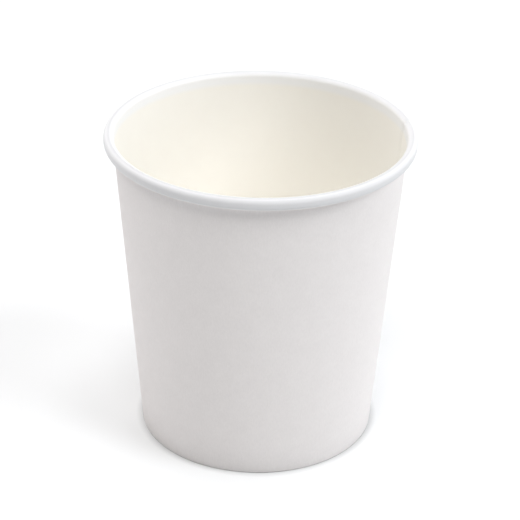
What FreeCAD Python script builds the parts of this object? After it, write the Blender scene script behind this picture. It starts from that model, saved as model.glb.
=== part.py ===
import FreeCAD, Part
import math
import os
import Sketcher

# Paper deli container: a tapered cup of coated board with a rolled rim.
#
# It is made of two pieces, as on a cup machine. The side wall is one blank, wrapped round a mandrel and
# lapped on itself along a seam. Its top edge is rolled outwards into the rim, and its bottom edge is folded
# inwards and up into a hem. The bottom is a disc with its edge turned down into a skirt, and the hem holds
# that skirt against the wall.
#
# Frame: millimetres, +Z up along the cup's axis, origin at the centre of the circle that it stands on.

SIZES = [
    ("rim_diameter", 98.0, "over the rolled rim"),
    ("base_diameter", 75.2, "where the wall's outer face meets the table"),
    ("cup_height", 102.4, "table to the top of the rim"),
    ("board_thickness", 0.4, "side wall board"),
    ("curl_radius", 1.6, "top of the rolled rim, outer face"),
    ("curl_side", 0.8, "straight outer side of the roll"),
    ("curl_gap", 0.06, "air between the turns of the roll"),
    ("curl_end_angle", 55.0, "where the board's raw edge ends inside the roll, from the horizontal"),
    ("fold_radius", 0.12, "inside of the two creases under the skirt"),
    ("hem_height", 6.6, "table to the raw edge of the hem"),
    ("lap_width", 6.5, "overlap of the side seam"),
    ("seam_step", 0.3, "how far the lapped ply stands out, once the seam is pressed and sealed"),
    ("seam_azimuth", 12.0, "where the seam's inner edge stands round the cup, from +X"),
    ("disc_thickness", 0.32, "bottom board"),
    ("disc_height", 8.0, "table to the underside of the bottom"),
    ("disc_corner_radius", 1.0, "outer face, where the bottom turns down into its skirt"),
    ("skirt_lift", 0.15, "skirt's raw edge above the board of the fold"),
    ("seal_film", 0.04, "melted coating between the skirt and the board on each side of it"),
]

# What follows from the sizes above. The wall's line starts at the base circle and is tangent to the roll.
# At the seam the outer ply leaves the round along its tangent and comes down one seam step further out.
WORKED_OUT = [
    ("wall_run", "=(rim_diameter - base_diameter) / 2 - curl_radius"),
    ("wall_rise", "=cup_height - curl_radius"),
    ("taper", "=atan(wall_run / wall_rise) - asin((curl_radius - board_thickness) / hypot(wall_run; wall_rise))"),
    ("mean_radius", "=(rim_diameter + base_diameter) / 4"),
    ("lap_angle", "=lap_width / mean_radius * 180 deg / pi"),
    ("ramp_angle", "=acos(mean_radius / (mean_radius + seam_step))"),
]

doc = FreeCAD.newDocument("paper_deli_container")
vector = FreeCAD.Vector
START, END, CENTRE = range(1, 4)
X_AXIS, Z_AXIS, ORIGIN = -1, -2, (-1, START)


def make_sheet():
    sheet = doc.addObject("Spreadsheet::Sheet", "sizes")
    for row, (name, value, note) in enumerate(SIZES, 1):
        sheet.set(f"A{row}", name)
        sheet.set(f"B{row}", str(value))
        sheet.set(f"C{row}", note)
        sheet.setAlias(f"B{row}", name)
    for row, (name, formula) in enumerate(WORKED_OUT, len(SIZES) + 1):
        sheet.set(f"A{row}", name)
        sheet.set(f"B{row}", formula)
        sheet.setAlias(f"B{row}", name)
    doc.recompute()
    return sheet


sheet = make_sheet()


def plain(name):
    """A cell's value as a plain number."""
    value = sheet.get(name)
    return float(getattr(value, "Value", value))


def origin_feature(body, role):
    return next(feature for feature in body.Origin.OriginFeatures if feature.Role == role)


def make_body(label):
    body = doc.addObject("PartDesign::Body", label)
    body.Label = label
    return body


def upright_sketch(body, name):
    """A sketch on the body's XZ plane: across is the radius, up is the height."""
    sketch = body.newObject("Sketcher::SketchObject", name)
    sketch.AttachmentSupport = [(origin_feature(body, "XZ_Plane"), "")]
    sketch.MapMode = "FlatFace"
    return sketch


def add_line(sketch, start, end, construction=False):
    return sketch.addGeometry(Part.LineSegment(vector(*start), vector(*end)), construction)


def add_arc(sketch, centre, radius, start_degrees, end_degrees):
    circle = Part.Circle(vector(*centre), vector(0, 0, 1), radius)
    arc = Part.ArcOfCircle(circle, math.radians(start_degrees), math.radians(end_degrees))
    return sketch.addGeometry(arc, False)


def constrain(sketch, kind, *where):
    sketch.addConstraint(Sketcher.Constraint(kind, *where))


def dimension(sketch, name, kind, where, value, expression):
    """A named dimension, drawn at value and then bound to the sheet."""
    index = sketch.addConstraint(Sketcher.Constraint(kind, *where, value))
    sketch.renameConstraint(index, name)
    sketch.setExpression(f"Constraints.{name}", expression)


def board_path(body, name, ply):
    """The coated face of the side wall board, from the hem's raw edge to the edge inside the rolled rim.

    ply 0 is the board as it runs round the cup. ply 1 is the outer board of the seam: one step further out on
    the wall, one step further in inside the roll, and one step further out on each side of the hem's pocket.
    """
    sketch = upright_sketch(body, name)
    board, fold = plain("board_thickness"), plain("fold_radius")
    step, step_cell = ply * plain("seam_step"), f"{ply} * sizes.seam_step"
    taper = math.radians(plain("taper"))
    foot = plain("base_diameter") / 2 - (board - step) / math.cos(taper)
    pocket = plain("disc_thickness") + 2 * plain("seal_film") + 2 * step
    tuck = board + plain("curl_gap")
    roll = plain("curl_radius") - step
    roll_x = plain("rim_diameter") / 2 - plain("curl_radius")
    roll_z = plain("cup_height") - plain("curl_radius")
    low_z = roll_z - plain("curl_side")
    low_roll = roll - tuck / 2
    hem_top = plain("hem_height")
    end_angle = plain("curl_end_angle")
    slope = 180 - math.degrees(taper)
    lean = math.tan(taper)

    # The board's face, drawn where it will lie.
    hem = add_line(sketch, (foot - pocket + hem_top * lean, hem_top), (foot - pocket, board + fold))
    crease_in = add_arc(sketch, (foot - pocket + fold, board + fold), fold, slope, 270)
    floor = add_line(sketch, (foot - pocket + fold, board), (foot - fold, board))
    crease_out = add_arc(sketch, (foot - fold, board + fold), fold, 270, 360 + slope - 180)
    wall = add_line(sketch, (foot, board + fold), (roll_x - roll, roll_z))
    curl_top = add_arc(sketch, (roll_x, roll_z), roll, 0, slope)
    curl_side = add_line(sketch, (roll_x + roll, roll_z), (roll_x + roll, low_z))
    curl_low = add_arc(sketch, (roll_x + roll - low_roll, low_z), low_roll, slope, 360)
    tuck_line = add_line(sketch, (roll_x - roll + tuck, low_z), (roll_x - roll + tuck, roll_z))
    curl_end = add_arc(sketch, (roll_x, roll_z), roll - tuck, end_angle, slope)
    foot_point = sketch.addGeometry(Part.Point(vector(foot, 0)), True)
    reach = (roll_x + math.cos(math.radians(end_angle)), roll_z + math.sin(math.radians(end_angle)))
    end_spoke = add_line(sketch, (roll_x, roll_z), reach, construction=True)

    # Every stretch runs on smoothly from the last.
    for joint in (
        (hem, END, crease_in, START),
        (crease_in, END, floor, START),
        (floor, END, crease_out, START),
        (crease_out, END, wall, START),
        (wall, END, curl_top, END),
        (curl_top, START, curl_side, START),
        (curl_side, END, curl_low, END),
        (curl_low, START, tuck_line, START),
        (tuck_line, END, curl_end, END),
    ):
        constrain(sketch, "Tangent", *joint)

    # The fold under the skirt.
    constrain(sketch, "Horizontal", floor)
    constrain(sketch, "Parallel", hem, wall)
    constrain(sketch, "Equal", crease_in, crease_out)
    dimension(sketch, "crease", "Radius", (crease_in,), fold, "sizes.fold_radius")
    dimension(sketch, "floor_level", "DistanceY", (*ORIGIN, floor, START), board, "sizes.board_thickness")
    dimension(sketch, "hem_top", "DistanceY", (*ORIGIN, hem, START), hem_top, "sizes.hem_height")
    dimension(sketch, "pocket", "Distance", (hem, START, wall), pocket,
              f"sizes.disc_thickness + 2 * sizes.seal_film + 2 * {step_cell}")

    # The wall's line, carried down to the table.
    constrain(sketch, "PointOnObject", foot_point, START, X_AXIS)
    constrain(sketch, "PointOnObject", foot_point, START, wall)
    dimension(sketch, "foot", "DistanceX", (*ORIGIN, foot_point, START), foot,
              f"sizes.base_diameter / 2 - (sizes.board_thickness - {step_cell}) / cos(sizes.taper)")

    # The rolled rim: over the top, down the side, under, and up again beside the wall.
    dimension(sketch, "roll", "Radius", (curl_top,), roll, f"sizes.curl_radius - {step_cell}")
    dimension(sketch, "roll_x", "DistanceX", (*ORIGIN, curl_top, CENTRE), roll_x,
              "sizes.rim_diameter / 2 - sizes.curl_radius")
    dimension(sketch, "roll_z", "DistanceY", (*ORIGIN, curl_top, CENTRE), roll_z,
              "sizes.cup_height - sizes.curl_radius")
    constrain(sketch, "Vertical", curl_side)
    dimension(sketch, "side", "DistanceY", (curl_side, END, curl_side, START), roll_z - low_z,
              "sizes.curl_side")
    constrain(sketch, "Parallel", tuck_line, wall)
    dimension(sketch, "tuck", "Distance", (tuck_line, START, wall), tuck,
              "sizes.board_thickness + sizes.curl_gap")
    constrain(sketch, "Coincident", curl_end, CENTRE, curl_top, CENTRE)
    constrain(sketch, "Coincident", end_spoke, START, curl_top, CENTRE)
    constrain(sketch, "Coincident", end_spoke, END, curl_end, START)
    dimension(sketch, "end_angle", "Angle", (end_spoke,), math.radians(end_angle), "sizes.curl_end_angle")
    return sketch


def disc_path(body, name):
    """The upper face of the bottom, from the axis out and down its skirt, which follows the wall's slope."""
    sketch = upright_sketch(body, name)
    taper = math.radians(plain("taper"))
    top = plain("disc_height") + plain("disc_thickness")
    corner = plain("disc_corner_radius")
    clear = plain("board_thickness") + plain("seal_film")
    foot = plain("base_diameter") / 2 - clear / math.cos(taper)
    edge_x = foot + top * math.tan(taper)
    skirt_low = plain("board_thickness") + plain("skirt_lift")

    panel = add_line(sketch, (0, top), (edge_x - corner, top))
    bend = add_arc(sketch, (edge_x - corner, top - corner), corner, -math.degrees(taper), 90)
    skirt = add_line(sketch, (edge_x, top - corner), (foot, skirt_low))
    foot_point = sketch.addGeometry(Part.Point(vector(foot, 0)), True)

    constrain(sketch, "Tangent", panel, END, bend, END)
    constrain(sketch, "Tangent", bend, START, skirt, START)
    constrain(sketch, "Horizontal", panel)
    constrain(sketch, "PointOnObject", panel, START, Z_AXIS)
    dimension(sketch, "panel_top", "DistanceY", (*ORIGIN, panel, START), top,
              "sizes.disc_height + sizes.disc_thickness")
    dimension(sketch, "bend", "Radius", (bend,), corner, "sizes.disc_corner_radius")
    constrain(sketch, "PointOnObject", foot_point, START, X_AXIS)
    constrain(sketch, "PointOnObject", foot_point, START, skirt)
    dimension(sketch, "foot", "DistanceX", (*ORIGIN, foot_point, START), foot,
              "sizes.base_diameter / 2 - (sizes.board_thickness + sizes.seal_film) / cos(sizes.taper)")
    dimension(sketch, "lean", "Angle", (skirt,), math.radians(-90) - taper, "-90 deg - sizes.taper")
    dimension(sketch, "skirt_low", "DistanceY", (*ORIGIN, skirt, END), skirt_low,
              "sizes.board_thickness + sizes.skirt_lift")
    return sketch


def thicken(body, name, path, thickness_cell):
    """The path given the board's thickness on its uncoated side, as a face to turn or loft."""
    section = body.newObject("PartDesign::SubShapeBinder", name)
    section.Support = [(path, ("",))]
    section.MakeFace = False
    section.OffsetFill = True
    section.OffsetOpenResult = True
    section.Offset = -plain(thickness_cell)
    section.setExpression("Offset", f"-sizes.{thickness_cell}")
    return section


def turn(body, name, section, angle):
    """The section turned about the cup's axis, anticlockwise from above."""
    feature = body.newObject("PartDesign::Revolution", name)
    feature.Profile = (section, [""])
    feature.ReferenceAxis = (origin_feature(body, "Z_Axis"), [""])
    feature.setExpression("Angle", angle)
    return feature


def make_sidewall():
    """One blank: a single ply round the cup, its far end ramped up and lapped over its near end."""
    body = make_body("sidewall")
    inner_ply = thicken(body, "inner_ply", board_path(body, "inner_ply_path", 0), "board_thickness")
    outer_ply = thicken(body, "outer_ply", board_path(body, "outer_ply_path", 1), "board_thickness")
    lift_off_path = board_path(body, "lift_off_path", 0)
    lift_off_path.AttachmentOffset = FreeCAD.Placement(vector(), FreeCAD.Rotation(vector(0, 1, 0), -1))
    lift_off_path.setExpression("AttachmentOffset.Rotation.Angle", "-sizes.ramp_angle")
    lift_off = thicken(body, "lift_off", lift_off_path, "board_thickness")

    turn(body, "wall_round", inner_ply, "360 deg - sizes.ramp_angle")
    turn(body, "seam_lap", outer_ply, "sizes.lap_angle")
    doc.recompute()
    ramp = body.newObject("PartDesign::AdditiveLoft", "seam_ramp")
    ramp.Profile = (lift_off, [""])
    ramp.Sections = [(outer_ply, [""])]
    ramp.Ruled = True
    body.Tip = ramp

    body.Placement = FreeCAD.Placement(vector(), FreeCAD.Rotation(vector(0, 0, 1), plain("seam_azimuth")))
    body.setExpression("Placement.Rotation.Angle", "sizes.seam_azimuth")
    return body


def make_bottom_disc():
    """One blank: a flat disc drawn down at its edge into a skirt."""
    body = make_body("bottom_disc")
    section = thicken(body, "disc_section", disc_path(body, "disc_path"), "disc_thickness")
    disc = turn(body, "disc_round", section, "360 deg")
    body.Tip = disc
    return body


def check_document():
    for thing in doc.Objects:
        failed = {"Invalid", "Error"} & set(thing.State)
        if failed:
            raise RuntimeError(f"{thing.Label}: {', '.join(sorted(failed))}")


def write_parts(bodies):
    for body in bodies:
        if body.Shape.isNull() or not body.Shape.isValid() or len(body.Shape.Solids) != 1:
            raise RuntimeError(f"{body.Label}: not one valid solid")
    os.makedirs("parts", exist_ok=True)
    for body in bodies:
        body.Shape.exportStep(f"parts/{body.Label}.step")
        print(f"{body.Label}: {body.Shape.Volume:.1f} mm3")


bodies = [make_sidewall(), make_bottom_disc()]
doc.recompute()
check_document()
write_parts(bodies)
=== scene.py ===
import math

import bpy
from mathutils import Matrix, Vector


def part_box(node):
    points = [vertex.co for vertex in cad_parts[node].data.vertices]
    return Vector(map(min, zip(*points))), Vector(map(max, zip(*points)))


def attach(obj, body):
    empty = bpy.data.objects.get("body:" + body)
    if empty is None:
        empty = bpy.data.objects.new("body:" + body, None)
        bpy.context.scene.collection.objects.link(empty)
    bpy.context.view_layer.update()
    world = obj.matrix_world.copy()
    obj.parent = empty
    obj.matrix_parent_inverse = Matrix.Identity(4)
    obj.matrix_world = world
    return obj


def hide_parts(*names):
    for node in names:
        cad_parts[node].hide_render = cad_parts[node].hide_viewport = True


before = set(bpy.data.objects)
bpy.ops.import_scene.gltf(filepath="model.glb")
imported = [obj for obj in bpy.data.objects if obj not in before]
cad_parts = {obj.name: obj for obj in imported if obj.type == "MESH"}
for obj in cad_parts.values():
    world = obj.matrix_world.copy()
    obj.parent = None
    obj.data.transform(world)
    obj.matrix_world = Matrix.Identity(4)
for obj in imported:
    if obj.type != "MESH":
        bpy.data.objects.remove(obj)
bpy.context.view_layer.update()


# --- Side wall -------------------------------------------------------------------------------------------
# One blank of bleached paperboard with a film of polyethylene on its inner face. It is wrapped round a cone,
# lapped and heat-sealed along a side seam, rolled outwards into the rim, and folded in and up at the foot
# into a hem, which is knurled to press it into the skirt of the bottom.
mm = 0.001
rim_radius = 49.0 * mm
cup_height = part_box("sidewall")[1].z
base_radius = 37.6 * mm
board = 0.4 * mm
pressed_board = 0.29 * mm
curl_radius = 1.6 * mm
curl_side = 0.8 * mm
curl_gap = 0.06 * mm
curl_end = 55
fold_radius = 0.12 * mm
hem_height = 6.6 * mm
hem_pocket = 0.4 * mm
knurls = 120
knurl_depth = 0.12 * mm
seam_step = 0.3 * mm
seam_lap = math.radians(8.6)
seam_ramp = math.radians(6.72)
seam_azimuth = math.radians(12)
crushed_lap = math.radians(2.4)
crush = 0.75
wall_columns = 621
sharp_bend = math.radians(50)
# Heights over which the film's cream gives way to painted light and shade across the rolled rim.
painted_roll_heights = cup_height - 4.8 * mm, cup_height - 2.8 * mm
film_polish = rim_radius - 2.9 * mm, rim_radius - 1.9 * mm
roll_inside = rim_radius - 4 * mm
wall_run, wall_rise = rim_radius - base_radius - curl_radius, cup_height - curl_radius
taper = math.atan2(wall_run, wall_rise) - math.asin((curl_radius - board) / math.hypot(wall_run, wall_rise))


def arc(centre, radius, start, end, steps):
    turns = [math.radians(start + (end - start) * step / steps) for step in range(steps + 1)]
    return [(centre[0] + radius * math.cos(turn), centre[1] + radius * math.sin(turn)) for turn in turns]


def section_line(name, points, marked):
    """A line of points, radius and height, each with how strongly the board is marked there, from 0 to 1."""
    mesh = bpy.data.meshes.new(name)
    mesh.from_pydata([(radius, 0, height) for radius, height in points], [], [])
    mesh.attributes.new("marked", "FLOAT", "POINT").data.foreach_set("value", marked)
    line = bpy.data.objects.new(name, mesh)
    bpy.context.scene.collection.objects.link(line)
    return line


def wall_line(name, ply):
    """The board's coated face, from the hem's raw edge to the edge inside the roll, for the inner ply of the
    seam (0) and for the outer one (1)."""
    step, lean, slope = ply * seam_step, math.tan(taper), 180 - math.degrees(taper)
    foot = base_radius - (board - step) / math.cos(taper)
    hem_foot = foot - (hem_pocket + 2 * step) / math.cos(taper)
    crease_height = board + fold_radius
    crease_shift = crease_height * lean
    reach = fold_radius / math.cos(taper)
    roll, tuck = curl_radius - step, board + curl_gap
    roll_centre = (rim_radius - curl_radius, cup_height - curl_radius)
    low_roll = roll + (curl_side * math.sin(taper) - tuck) / (1 + math.cos(taper))
    low_centre = (roll_centre[0] + roll - low_roll, roll_centre[1] - curl_side)

    hem_rows = {hem_height: 0, 5.8 * mm: 0, 5.3 * mm: 1, 1.7 * mm: 1, 1.2 * mm: 0}
    points = [(hem_foot + height * lean, height) for height in hem_rows]
    points += arc((hem_foot + crease_shift + reach, crease_height), fold_radius, slope, 270, 4)
    points += arc((foot + crease_shift - reach, crease_height), fold_radius, 270, 180 + slope, 4)
    points += [(foot + height * mm * lean, height * mm) for height in range(10, 100, 10)]
    points += arc(roll_centre, roll, slope, 0, 16)
    points += arc(low_centre, low_roll, 0, slope - 360, 16)
    points += arc(roll_centre, roll - tuck, slope, curl_end, 8)
    marked = list(hem_rows.values()) + [0] * (len(points) - len(hem_rows))
    return section_line(name, points, marked)


def add_node(tree, kind, inputs=(), **settings):
    """A node with its settings. Each input gets a value of its own, or a link from another node's output."""
    node = tree.nodes.new(kind)
    for name, value in settings.items():
        setattr(node, name, value)
    for name, value in dict(inputs).items():
        for source in value if isinstance(value, list) else [value]:
            if isinstance(source, bpy.types.NodeSocket):
                tree.links.new(source, node.inputs[name])
            else:
                node.inputs[name].default_value = source
    return node


def board_tree():
    """A strip of board wrapped round the axis. It follows the line, and over the ramp at the end of its
    first turn it rises to the lapped line. The line is the board's coated face, and the plain face is on its
    right."""
    tree = bpy.data.node_groups.new("wrapped board", "GeometryNodeTree")
    for name, kind in {
        "Line": "Object", "Lapped line": "Object", "Rows": "Int", "Columns": "Int", "Start": "Float",
        "Turn": "Float", "Ramp start": "Float", "Ramp end": "Float", "Crushed lap": "Float", "Crush": "Float",
        "Lap": "Float", "Board": "Float", "Pressed board": "Float", "Marks": "Float", "Mark depth": "Float",
        "Coated face": "Material", "Plain face": "Material", "Raw edge": "Material",
    }.items():
        tree.interface.new_socket(name=name, in_out="INPUT", socket_type="NodeSocket" + kind)
    tree.interface.new_socket(name="Board", in_out="OUTPUT", socket_type="NodeSocketGeometry")
    given = add_node(tree, "NodeGroupInput").outputs

    # Each point of a flat grid takes its place from its row along the line and its column round the axis.
    inputs = {"Vertices X": given["Columns"], "Vertices Y": given["Rows"]}
    grid = add_node(tree, "GeometryNodeMeshGrid", inputs)
    index = add_node(tree, "GeometryNodeInputIndex").outputs[0]
    inputs = {0: index, 1: given["Rows"]}
    row = add_node(tree, "FunctionNodeIntegerMath", inputs, operation="MODULO").outputs[0]
    column = add_node(tree, "FunctionNodeIntegerMath", inputs, operation="DIVIDE_FLOOR").outputs[0]
    last = add_node(tree, "ShaderNodeMath", {0: given["Columns"], 1: 1.0}, operation="SUBTRACT").outputs[0]
    inputs = {"Value": column, "From Max": last, "To Max": given["Turn"]}
    turned = add_node(tree, "ShaderNodeMapRange", inputs).outputs[0]
    inputs = {"Value": turned, "From Min": given["Ramp start"], "From Max": given["Ramp end"]}
    ramp = add_node(tree, "ShaderNodeMapRange", inputs).outputs[0]
    risen = add_node(tree, "ShaderNodeMath", {0: ramp, 1: 2.0}, operation="POWER").outputs[0]
    # The near end is crushed into the lapped ply, so its edge stands out less.
    inputs = {"Value": turned, "From Max": given["Crushed lap"], "To Min": given["Crush"], "To Max": 0.0}
    crushed = add_node(tree, "ShaderNodeMapRange", inputs, interpolation_type="SMOOTHSTEP").outputs[0]
    moved = add_node(tree, "ShaderNodeMath", {0: risen, 1: crushed}, operation="MAXIMUM").outputs[0]

    def on_line(name, kind, value):
        line = add_node(tree, "GeometryNodeObjectInfo", {"Object": given[name]}).outputs["Geometry"]
        inputs = {"Geometry": line, "Value": value, "Index": row}
        return add_node(tree, "GeometryNodeSampleIndex", inputs, data_type=kind).outputs[0]

    place = add_node(tree, "GeometryNodeInputPosition").outputs[0]
    mark = add_node(tree, "GeometryNodeInputNamedAttribute", {"Name": "marked"}, data_type="FLOAT").outputs[0]
    near, far = (on_line(name, "FLOAT_VECTOR", place) for name in ("Line", "Lapped line"))
    section = add_node(tree, "ShaderNodeMix", {0: moved, 4: near, 5: far}, data_type="VECTOR").outputs[1]
    angle = add_node(tree, "ShaderNodeMath", {0: given["Start"], 1: turned}, operation="ADD").outputs[0]
    inputs = {"Vector": section, "Angle": angle}
    wrapped = add_node(tree, "ShaderNodeVectorRotate", inputs, rotation_type="Z_AXIS")
    kept = add_node(tree, "GeometryNodeCaptureAttribute")
    kept_values = {"turned": turned, "marked": on_line("Line", "FLOAT", mark), "crushed": crushed}
    for name, value in kept_values.items():
        kept.capture_items.new("FLOAT", name)
        tree.links.new(value, kept.inputs[name])
    tree.links.new(grid.outputs[0], kept.inputs["Geometry"])
    inputs = {"Geometry": kept.outputs["Geometry"], "Position": wrapped.outputs[0]}
    sheet = add_node(tree, "GeometryNodeSetPosition", inputs).outputs[0]
    sheet = add_node(tree, "GeometryNodeMergeByDistance", {"Geometry": sheet, "Distance": 1e-7}).outputs[0]

    # The marks are a wave round the sheet, which stands out on its plain face.
    turned, marked = kept.outputs["turned"], kept.outputs["marked"]
    wave = add_node(tree, "ShaderNodeMath", {0: turned, 1: given["Marks"]}, operation="MULTIPLY").outputs[0]
    wave = add_node(tree, "ShaderNodeMath", {0: wave}, operation="COSINE").outputs[0]
    inputs = {"Value": wave, "From Min": 1.0, "From Max": -1.0, "To Max": given["Mark depth"]}
    height = add_node(tree, "ShaderNodeMapRange", inputs).outputs[0]
    height = add_node(tree, "ShaderNodeMath", {0: height, 1: marked}, operation="MULTIPLY").outputs[0]
    normal = add_node(tree, "GeometryNodeInputNormal").outputs[0]
    inputs = {"Vector": normal, "Scale": height}
    stand = add_node(tree, "ShaderNodeVectorMath", inputs, operation="SCALE").outputs[0]
    sheet = add_node(tree, "GeometryNodeSetPosition", {"Geometry": sheet, "Offset": stand}).outputs[0]

    # The sheet gets the board's thickness, which is less under the lap, and still less at the crushed end.
    lap_end = add_node(tree, "ShaderNodeMath", {0: given["Lap"], 1: 0.01}, operation="ADD").outputs[0]
    inputs = {"Value": turned, "From Min": given["Lap"], "From Max": lap_end,
              "To Min": given["Pressed board"], "To Max": given["Board"]}
    thickness = add_node(tree, "ShaderNodeMapRange", inputs).outputs[0]
    inputs = {0: 1.0, 1: kept.outputs["crushed"]}
    left = add_node(tree, "ShaderNodeMath", inputs, operation="SUBTRACT").outputs[0]
    thickness = add_node(tree, "ShaderNodeMath", {0: thickness, 1: left}, operation="MULTIPLY").outputs[0]
    inputs = {"Mesh": sheet, "Offset Scale": thickness, "Individual": False}
    plain = add_node(tree, "GeometryNodeExtrudeMesh", inputs)
    coated = add_node(tree, "GeometryNodeFlipFaces", {"Mesh": sheet}).outputs[0]
    faces = [plain.outputs["Mesh"], coated]
    solid = add_node(tree, "GeometryNodeJoinGeometry", {"Geometry": faces}).outputs[0]
    solid = add_node(tree, "GeometryNodeMergeByDistance", {"Geometry": solid, "Distance": 1e-7}).outputs[0]
    bend = add_node(tree, "GeometryNodeInputMeshEdgeAngle").outputs["Unsigned Angle"]
    inputs = {"A": bend, "B": sharp_bend}
    sharp = add_node(tree, "FunctionNodeCompare", inputs, operation="GREATER_THAN")
    solid = add_node(tree, "GeometryNodeSetShadeSmooth", {"Geometry": solid, "Shade Smooth": True}).outputs[0]
    inputs = {"Geometry": solid, "Selection": sharp.outputs[0], "Shade Smooth": False}
    solid = add_node(tree, "GeometryNodeSetShadeSmooth", inputs, domain="EDGE").outputs[0]
    solid = add_node(tree, "GeometryNodeRealizeInstances", {"Geometry": solid}).outputs[0]
    inputs = {"Geometry": solid, "Material": given["Coated face"]}
    solid = add_node(tree, "GeometryNodeSetMaterial", inputs).outputs[0]
    for part, material in (("Top", "Plain face"), ("Side", "Raw edge")):
        inputs = {"Geometry": solid, "Selection": plain.outputs[part], "Material": given[material]}
        solid = add_node(tree, "GeometryNodeSetMaterial", inputs).outputs[0]
    add_node(tree, "NodeGroupOutput", {"Board": solid})
    return tree


def make_board(name, tree, values):
    """A piece from the tree, as a plain mesh. The lines that it was made from are removed."""
    piece = bpy.data.objects.new(name, bpy.data.meshes.new(name))
    bpy.context.scene.collection.objects.link(piece)
    modifier = piece.modifiers.new("board", "NODES")
    modifier.node_group = tree
    for socket in tree.interface.items_tree:
        if socket.in_out == "INPUT":
            modifier[socket.identifier] = values[socket.name]
    finished = piece.evaluated_get(bpy.context.evaluated_depsgraph_get())
    mesh = bpy.data.meshes.new_from_object(finished)
    mesh.materials.pop(index=0)
    piece.modifiers.clear()
    piece.data = mesh
    for line in {values["Line"], values["Lapped line"]}:
        bpy.data.objects.remove(line)
    return piece


def linear(hex_colour):
    """An sRGB hex colour as linear RGBA."""
    parts = [int(hex_colour[place:place + 2], 16) / 255 for place in (1, 3, 5)]
    parts = [part / 12.92 if part <= 0.04045 else ((part + 0.055) / 1.055) ** 2.4 for part in parts]
    return (*parts, 1.0)


def new_material(name):
    material = bpy.data.materials.new(name)
    material.use_nodes = True
    material.node_tree.nodes.clear()
    return material


def plain_board(name):
    """Calendered on a stack of rolls and left bare: white, matt, and a little cloudy where its fibres lie
    closer."""
    material = new_material(name)
    tree = material.node_tree
    place = add_node(tree, "ShaderNodeTexCoord").outputs["Object"]
    # Fibres are about 0.03 mm wide, too fine to show, so they are drawn 0.4 mm wide, and three times as long.
    along = add_node(tree, "ShaderNodeMapping", {"Vector": place, "Scale": (1.0, 1.0, 0.33)}).outputs[0]
    inputs = {"Vector": along, "Scale": 1 / (0.4 * mm), "Detail": 2.0, "Roughness": 0.6}
    fibres = add_node(tree, "ShaderNodeTexNoise", inputs).outputs["Fac"]
    clouds = add_node(tree, "ShaderNodeTexNoise", {"Vector": place, "Scale": 1 / (5 * mm)}).outputs["Fac"]
    tone = add_node(tree, "ShaderNodeMix", {0: 0.3, 2: fibres, 3: clouds}).outputs[0]
    inputs = {0: tone, 6: linear("#E8E4E3"), 7: linear("#F8F4F3")}
    shade = add_node(tree, "ShaderNodeMix", inputs, data_type="RGBA").outputs[2]
    matt = add_node(tree, "ShaderNodeMapRange", {"Value": clouds, "To Min": 0.82, "To Max": 0.94}).outputs[0]
    inputs = {"Height": fibres, "Distance": 0.015 * mm, "Strength": 0.9}
    nap = add_node(tree, "ShaderNodeBump", inputs).outputs[0]
    inputs = {"Base Color": shade, "Roughness": matt, "IOR": 1.5, "Normal": nap}
    board_face = add_node(tree, "ShaderNodeBsdfPrincipled", inputs).outputs[0]
    add_node(tree, "ShaderNodeOutputMaterial", {"Surface": board_face})
    return material


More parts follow.
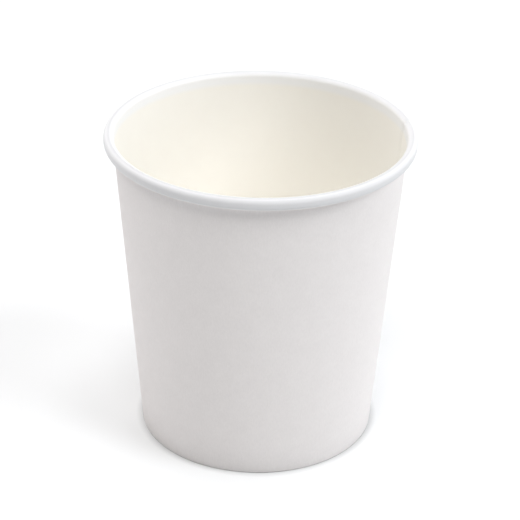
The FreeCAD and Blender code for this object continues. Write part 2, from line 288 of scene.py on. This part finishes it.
def coated_board(name, dull, bright):
    """The film was laid on the board as a melt and cooled against a matt roll: satin, with a faint orange
    peel. It is cream inside the cup and glossier over the rolled rim, where painted light and shade replace
    its colour."""
    material = new_material(name)
    tree = material.node_tree
    place = add_node(tree, "ShaderNodeTexCoord").outputs["Object"]
    height = add_node(tree, "ShaderNodeSeparateXYZ", {0: place}).outputs["Z"]
    inputs = {0: place, 1: (1.0, 1.0, 0.0)}
    across = add_node(tree, "ShaderNodeVectorMath", inputs, operation="MULTIPLY").outputs[0]
    radius = add_node(tree, "ShaderNodeVectorMath", {0: across}, operation="LENGTH").outputs["Value"]
    # Near the top of the wall the cream gives way to the painted light and shade across the roll.
    inputs = {"Value": height, "From Min": painted_roll_heights[0], "From Max": painted_roll_heights[1]}
    painted_roll_band = add_node(tree, "ShaderNodeMapRange", inputs, interpolation_type="SMOOTHSTEP").outputs[0]
    # Across the roll the colour is painted light and shade: white at the mouth, pale grey on the crest, where
    # the most light falls, whiter again down the outer side, and a little greyer in the shade where it turns
    # under.
    inputs = {"Value": radius, "From Min": roll_inside, "From Max": rim_radius}
    outwards = add_node(tree, "ShaderNodeMapRange", inputs).outputs[0]
    painted_light_across_roll = add_node(tree, "ShaderNodeValToRGB", {"Fac": outwards})
    stops = painted_light_across_roll.color_ramp.elements
    stops[0].position, stops[1].position = 0.2, 1.0
    for stop in (0.34, 0.45, 0.62, 0.8):
        stops.new(stop)
    for stop, colour in zip(stops, ("#F9F9F9", "#ECECEE", "#E1E1E3", "#D0D0D2", "#E8E8EA", "#DCDCDE")):
        stop.color = linear(colour)
    clouds = add_node(tree, "ShaderNodeTexNoise", {"Vector": place, "Scale": 1 / (6 * mm)}).outputs["Fac"]
    peel = add_node(tree, "ShaderNodeTexNoise", {"Vector": place, "Scale": 1 / (0.9 * mm)}).outputs["Fac"]
    inputs = {0: clouds, 6: linear(dull), 7: linear(bright)}
    cream = add_node(tree, "ShaderNodeMix", inputs, data_type="RGBA").outputs[2]
    inputs = {0: painted_roll_band, 6: cream, 7: painted_light_across_roll.outputs["Color"]}
    shade = add_node(tree, "ShaderNodeMix", inputs, data_type="RGBA").outputs[2]
    inputs = {"Value": radius, "From Min": film_polish[0], "From Max": film_polish[1]}
    rolled = add_node(tree, "ShaderNodeMapRange", inputs, interpolation_type="SMOOTHSTEP").outputs[0]
    rolled = add_node(tree, "ShaderNodeMath", {0: painted_roll_band, 1: rolled}, operation="MULTIPLY").outputs[0]
    satin = add_node(tree, "ShaderNodeMapRange", {"Value": peel, "To Min": 0.42, "To Max": 0.56}).outputs[0]
    satin = add_node(tree, "ShaderNodeMix", {0: rolled, 2: satin, 3: 0.32}).outputs[0]
    inputs = {"Height": peel, "Distance": 0.01 * mm, "Strength": 0.6}
    relief = add_node(tree, "ShaderNodeBump", inputs).outputs[0]
    inputs = {"Base Color": shade, "Roughness": satin, "IOR": 1.51, "Normal": relief}
    film = add_node(tree, "ShaderNodeBsdfPrincipled", inputs).outputs[0]
    add_node(tree, "ShaderNodeOutputMaterial", {"Surface": film})
    return material


def cut_edge(name):
    """Sheared through by the blanking die: the plies of the board are torn into a fine, soft, matt fuzz."""
    material = new_material(name)
    tree = material.node_tree
    place = add_node(tree, "ShaderNodeTexCoord").outputs["Object"]
    plies = add_node(tree, "ShaderNodeTexNoise", {"Vector": place, "Scale": 1 / (0.15 * mm)}).outputs["Fac"]
    inputs = {0: plies, 6: linear("#F3F0E9"), 7: linear("#FAF8F3")}
    shade = add_node(tree, "ShaderNodeMix", inputs, data_type="RGBA").outputs[2]
    inputs = {"Height": plies, "Distance": 0.02 * mm, "Strength": 0.6}
    fuzz = add_node(tree, "ShaderNodeBump", inputs).outputs[0]
    inputs = {"Base Color": shade, "Roughness": 1.0, "Normal": fuzz}
    cut = add_node(tree, "ShaderNodeBsdfPrincipled", inputs).outputs[0]
    add_node(tree, "ShaderNodeOutputMaterial", {"Surface": cut})
    return material


outside = plain_board("bleached paperboard, uncoated face")
inside = coated_board("bleached paperboard, polyethylene film", "#FAF7F1", "#FDFBF5")
edge = cut_edge("bleached paperboard, cut edge")
board_nodes = board_tree()
inner_ply, outer_ply = wall_line("inner_ply", 0), wall_line("outer_ply", 1)
side_wall = make_board("side_wall", board_nodes, {
    "Line": inner_ply, "Lapped line": outer_ply, "Rows": len(inner_ply.data.vertices),
    "Columns": wall_columns, "Start": seam_azimuth, "Turn": 2 * math.pi + seam_lap,
    "Ramp start": 2 * math.pi - seam_ramp, "Ramp end": 2 * math.pi, "Crushed lap": crushed_lap,
    "Crush": crush, "Lap": seam_lap, "Board": board, "Pressed board": pressed_board,
    "Marks": float(knurls), "Mark depth": knurl_depth, "Coated face": inside, "Plain face": outside,
    "Raw edge": edge,
})
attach(side_wall, "root")
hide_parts("sidewall")


# --- Bottom ----------------------------------------------------------------------------------------------
# A disc punched from thinner board, with its film upwards. Its edge is drawn down into a skirt, which leaves
# fine pleats round the bend, and the skirt is sealed between the wall and the hem.
disc_board = 0.32 * mm
disc_top = 8.32 * mm
disc_corner = 1.0 * mm
skirt_foot = 0.55 * mm
seal_film = 0.04 * mm
pleats = 96
pleat_depth = 0.05 * mm
disc_columns = 577


def disc_line(name):
    """The bottom's coated face, from the axis out and down to the skirt's raw edge."""
    lean = math.tan(taper)
    foot = base_radius - (board + seal_film) / math.cos(taper)
    corner_height = disc_top - disc_corner
    corner_radius = foot + corner_height * lean - disc_corner / math.cos(taper)
    panel = {0.0: 0, 12 * mm: 0, 24 * mm: 0, corner_radius - 2.5 * mm: 0, corner_radius - 0.8 * mm: 0.6}
    points = [(radius, disc_top) for radius in panel]
    points += arc((corner_radius, corner_height), disc_corner, 90, -math.degrees(taper), 10)
    marked = list(panel.values()) + [1] * 6 + [0.8, 0.6, 0.4, 0.2, 0]
    points += [(foot + skirt_foot * lean, skirt_foot)]
    return section_line(name, points, marked + [0])


# The bottom's film is drawn darker than the wall's: painted shade, against the strong light that falls and
# gathers on the bottom.
disc_film = coated_board("bottom stock, polyethylene film", "#ECE8DF", "#F0EDE5")
disc = disc_line("disc")
bottom = make_board("bottom", board_nodes, {
    "Line": disc, "Lapped line": disc, "Rows": len(disc.data.vertices), "Columns": disc_columns,
    "Start": 0.0, "Turn": 2 * math.pi, "Ramp start": 0.0, "Ramp end": 2 * math.pi,
    "Crushed lap": 0.01, "Crush": 0.0, "Lap": 0.0, "Board": disc_board, "Pressed board": disc_board,
    "Marks": float(pleats), "Mark depth": pleat_depth, "Coated face": disc_film, "Plain face": outside,
    "Raw edge": edge,
})
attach(bottom, "root")
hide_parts("bottom_disc")


# --- Table, light and camera -----------------------------------------------------------------------------
# The cup stands on a pale laminate table in a white studio. Six broad, soft lamps light it from all sides,
# the strongest from the front and the right. None of this is part of the cup.
floor_radius = 3.0
floor_glow = 0.18
# How far from the foot, and how deeply, a painted shadow darkens the table.
painted_shadow_reach = 2.5 * mm
painted_shadow_depth = 0.45


def seen_directly(tree):
    """1 for what is seen straight or in a reflection, and 0 for the light that a surface scatters."""
    path = add_node(tree, "ShaderNodeLightPath").outputs
    inputs = {0: path["Is Camera Ray"], 1: path["Is Glossy Ray"]}
    seen = add_node(tree, "ShaderNodeMath", inputs, operation="ADD").outputs[0]
    inputs = {0: seen, 1: path["Is Transmission Ray"]}
    return add_node(tree, "ShaderNodeMath", inputs, operation="MAXIMUM").outputs[0]


def pale_table(name):
    """Matt laminate, which looks white to the eye and keeps the cup's shadow. Close round the foot, where
    little light gets in, a painted shadow darkens its colour and its glow a little."""
    material = new_material(name)
    tree = material.node_tree
    laminate = linear("#D9DADB")
    inputs = {"Color": laminate, "Distance": painted_shadow_reach}
    open_sky = add_node(tree, "ShaderNodeAmbientOcclusion", inputs, samples=32).outputs
    inputs = {0: painted_shadow_depth, 6: laminate, 7: open_sky["Color"]}
    shade = add_node(tree, "ShaderNodeMix", inputs, data_type="RGBA").outputs[2]
    top = add_node(tree, "ShaderNodeBsdfDiffuse", {"Color": shade}).outputs[0]
    inputs = {"Value": open_sky["AO"], "To Min": floor_glow * (1 - painted_shadow_depth), "To Max": floor_glow}
    strength = add_node(tree, "ShaderNodeMapRange", inputs).outputs[0]
    inputs = {0: seen_directly(tree), 1: strength}
    strength = add_node(tree, "ShaderNodeMath", inputs, operation="MULTIPLY").outputs[0]
    glow = add_node(tree, "ShaderNodeEmission", {"Strength": strength}).outputs[0]
    both = add_node(tree, "ShaderNodeAddShader", {0: top, 1: glow}).outputs[0]
    add_node(tree, "ShaderNodeOutputMaterial", {"Surface": both})
    return material


floor_mesh = bpy.data.meshes.new("table")
rim_points = [(x, y, 0.0) for x, y in arc((0, 0), floor_radius, 0, 360, 96)[:-1]]
floor_mesh.from_pydata(rim_points, [], [list(range(len(rim_points)))])
floor_mesh.materials.append(pale_table("pale laminate"))
floor = bpy.data.objects.new("table", floor_mesh)
bpy.context.scene.collection.objects.link(floor)

world = bpy.data.worlds.new("white studio")
bpy.context.scene.world = world
world.use_nodes = True
world.node_tree.nodes.clear()
inputs = {"Color": (1.0, 1.0, 1.0, 1.0), "Strength": seen_directly(world.node_tree)}
studio = add_node(world.node_tree, "ShaderNodeBackground", inputs)
add_node(world.node_tree, "ShaderNodeOutputWorld", {"Surface": studio.outputs[0]})

# Each lamp has its azimuth from +X and its elevation, how widely its light spreads, all in degrees, how
# brightly it lights a surface that faces it, where at 1 a colour renders as it is written, and its tint.
for name, (azimuth, elevation, spread, brightness, tint) in {
    "key": (-26, 45, 30, 0.48, "#FAFDFF"), "overhead": (0, 85, 20, 0.23, "#FDFDFF"),
    "front": (-113, 63, 32, 0.5, "#FFFDFA"), "back": (99, 34, 58, 0.34, "#FFFFFF"),
    "left": (150, 15, 48, 0.34, "#FFFCFC"), "right": (22, 10, 48, 0.38, "#FBFDFF"),
}.items():
    light = bpy.data.lights.new(name, "SUN")
    light.angle, light.energy = math.radians(spread), brightness * math.pi
    light.color = linear(tint)[:3]
    lamp = bpy.data.objects.new(name, light)
    lamp.visible_glossy = False
    lamp.rotation_euler = (0.0, math.radians(90 - elevation), math.radians(azimuth))
    bpy.context.scene.collection.objects.link(lamp)

camera_data = bpy.data.cameras.new("camera")
camera_data.sensor_width = 36.0
camera_data.lens = 149.137
camera = bpy.data.objects.new("camera", camera_data)
bpy.context.scene.collection.objects.link(camera)
standpoint = Matrix.Translation((0.0, -0.6110, 0.3820))
yaw, pitch, roll = -0.0007, math.pi / 2 - 0.4891, 0.0171
camera.matrix_world = (standpoint @ Matrix.Rotation(yaw, 4, "Z") @ Matrix.Rotation(pitch, 4, "X")
                       @ Matrix.Rotation(roll, 4, "Z"))
bpy.context.scene.camera = camera
bpy.context.scene.view_settings.view_transform = "Standard"
